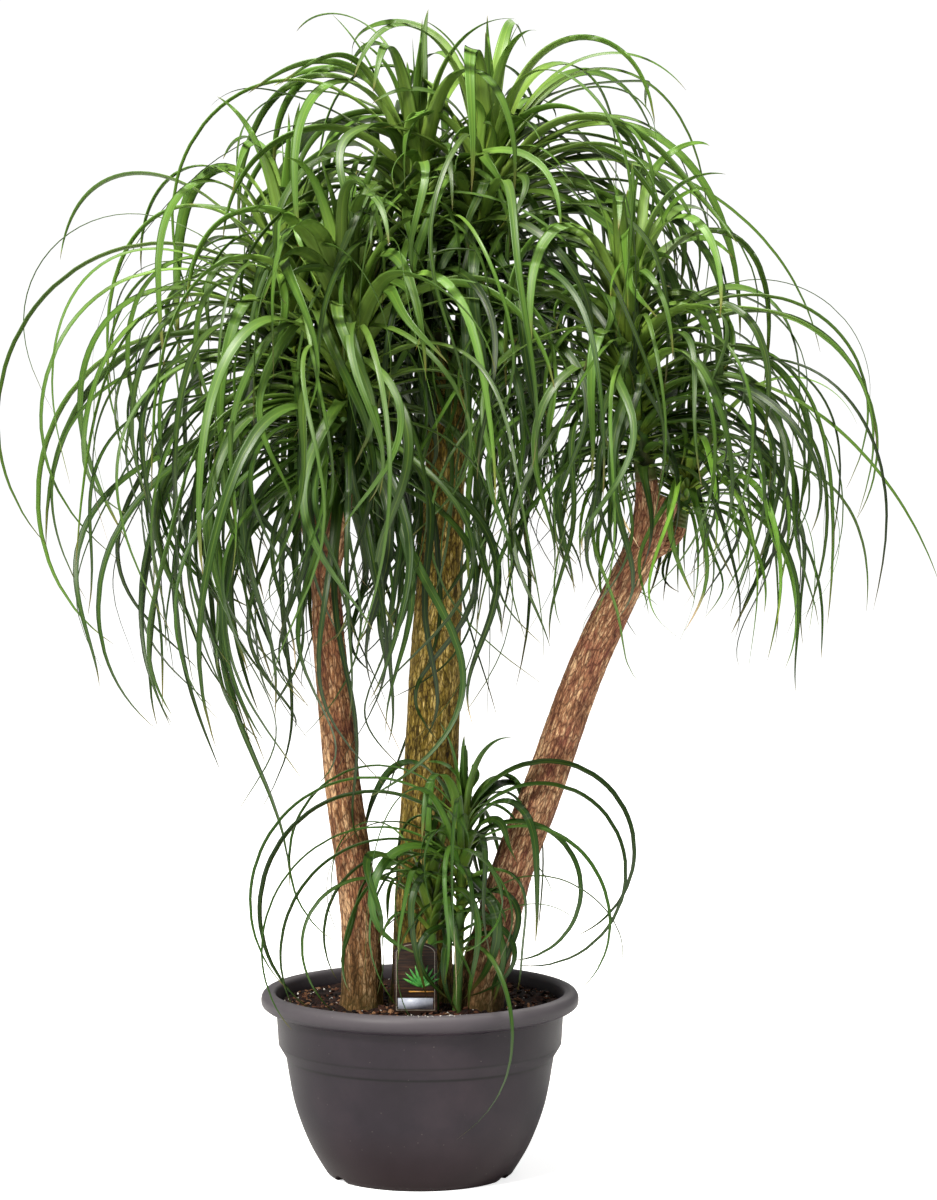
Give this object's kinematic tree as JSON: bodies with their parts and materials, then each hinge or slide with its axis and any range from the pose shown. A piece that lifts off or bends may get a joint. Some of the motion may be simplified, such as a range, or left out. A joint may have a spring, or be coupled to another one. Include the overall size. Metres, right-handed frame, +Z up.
{
  "type": "potted ponytail palm",
  "caption": "Ponytail palm with bare ridged trunks and arching strap-leaf crowns, rooted in a round nursery bowl with a rolled rim and a stick-in label.",
  "frame": {"origin": "centre of the pot's underside, on the floor it stands on", "axes": "+Z up along the trunks, -Y towards the viewer, +X to the viewer's right"},
  "size_m": [1.2809, 0.9849, 1.5989],
  "materials": {
    "pot": "dark anthracite moulded plastic, satin",
    "soil": "coarse dark brown bark-based potting mix with pale grains, matt",
    "tag": "printed plastic card, semi-gloss",
    "bark_left": "reddish brown bark with corky tan ridges, matt",
    "bark_centre": "olive brown bark with tan ridges, matt",
    "bark_right": "reddish brown bark with tan ridges and a pale cut top, matt",
    "leaves": "fresh green strap leaves, soft sheen",
    "young_leaves": "bright young green strap leaves, soft sheen"
  },
  "bodies": {
    "root": {"pot": "pot", "soil": "soil", "plant_tag": "tag", "trunk_left": "bark_left", "trunk_centre": "bark_centre", "trunk_right": "bark_right", "crown_centre_left": "leaves", "crown_centre_right": "leaves", "crown_left_back": "leaves", "crown_left_front": "leaves", "crown_right": "leaves", "crown_right_small": "young_leaves", "shoot_front": "leaves", "shoot_low": "leaves"}
  },
  "joints": []
}
